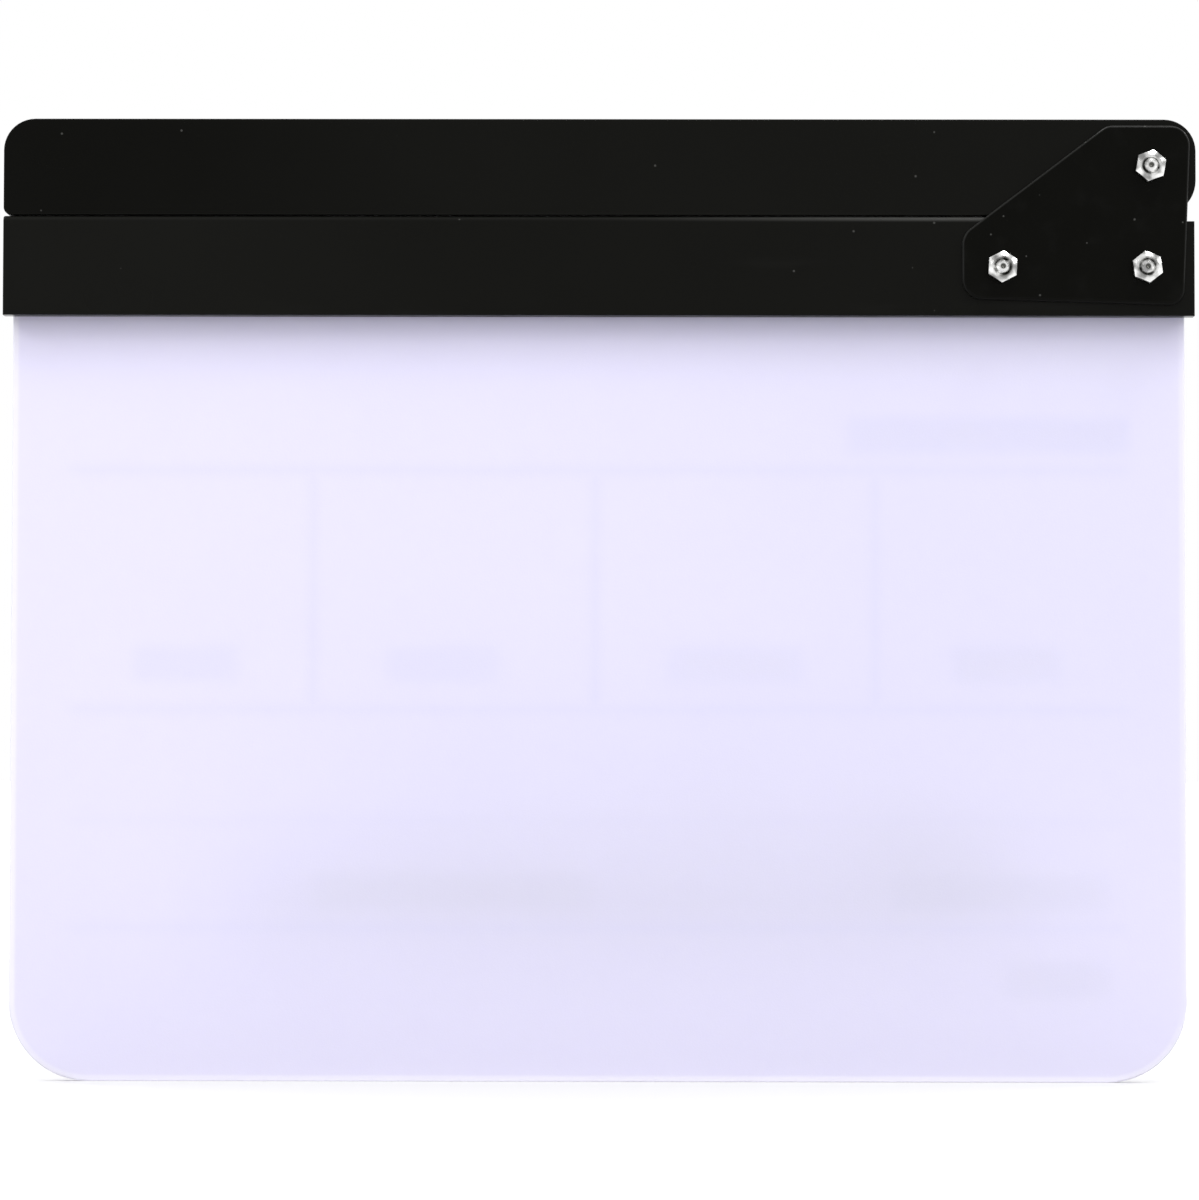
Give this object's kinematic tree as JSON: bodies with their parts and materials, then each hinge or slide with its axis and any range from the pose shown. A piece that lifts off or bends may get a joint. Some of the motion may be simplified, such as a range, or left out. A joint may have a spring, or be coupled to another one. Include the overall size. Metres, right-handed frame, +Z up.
{
  "type": "clapperboard",
  "caption": "Film clapperboard: a frosted acrylic slate in a grooved lower clap stick, with an upper clap stick that swings between two bolted hinge plates.",
  "frame": {"origin": "middle of the slate board's lower edge, on the board's middle plane", "axes": "+X along the sticks from the hinge end to the tip, +Z up across the board to the sticks, -Y out of the writing side"},
  "size_m": [0.3004, 0.0206, 0.2422],
  "materials": {
    "frosted_acrylic": "frosted translucent white with a lavender cast, polished rim",
    "stick_black": "satin black",
    "plate_black": "satin black enamel",
    "bright_zinc": "bright plated",
    "bush_brass": "turned",
    "washer_nylon": "natural nylon",
    "magnet_nickel": "nickel plated",
    "bonding_tape": "clear acrylic foam",
    "stripe_white": "white vinyl"
  },
  "bodies": {
    "slate": {"slate_board": "frosted_acrylic", "lower_stick": "stick_black", "front_groove_tape": "bonding_tape", "rear_groove_tape": "bonding_tape", "lower_stick_magnet": "magnet_nickel", "pivot_bush": "bush_brass", "front_pivot_washer": "washer_nylon", "rear_pivot_washer": "washer_nylon", "front_hinge_plate": "plate_black", "rear_hinge_plate": "plate_black", "pivot_screw": "bright_zinc", "inner_plate_screw": "bright_zinc", "outer_plate_screw": "bright_zinc", "pivot_nut": "bright_zinc", "inner_plate_nut": "bright_zinc", "outer_plate_nut": "bright_zinc", "lower_stick_stripes": "stripe_white"},
    "clapper": {"upper_stick": "stick_black", "upper_stick_magnet": "magnet_nickel", "upper_stick_stripes": "stripe_white"}
  },
  "joints": [
    {"name": "clapper_swing", "type": "hinge", "parent": "slate", "child": "clapper", "pos_m": [-0.1386, 0, 0.23], "axis": [0, -1, 0], "range_deg": [0, 90]}
  ]
}
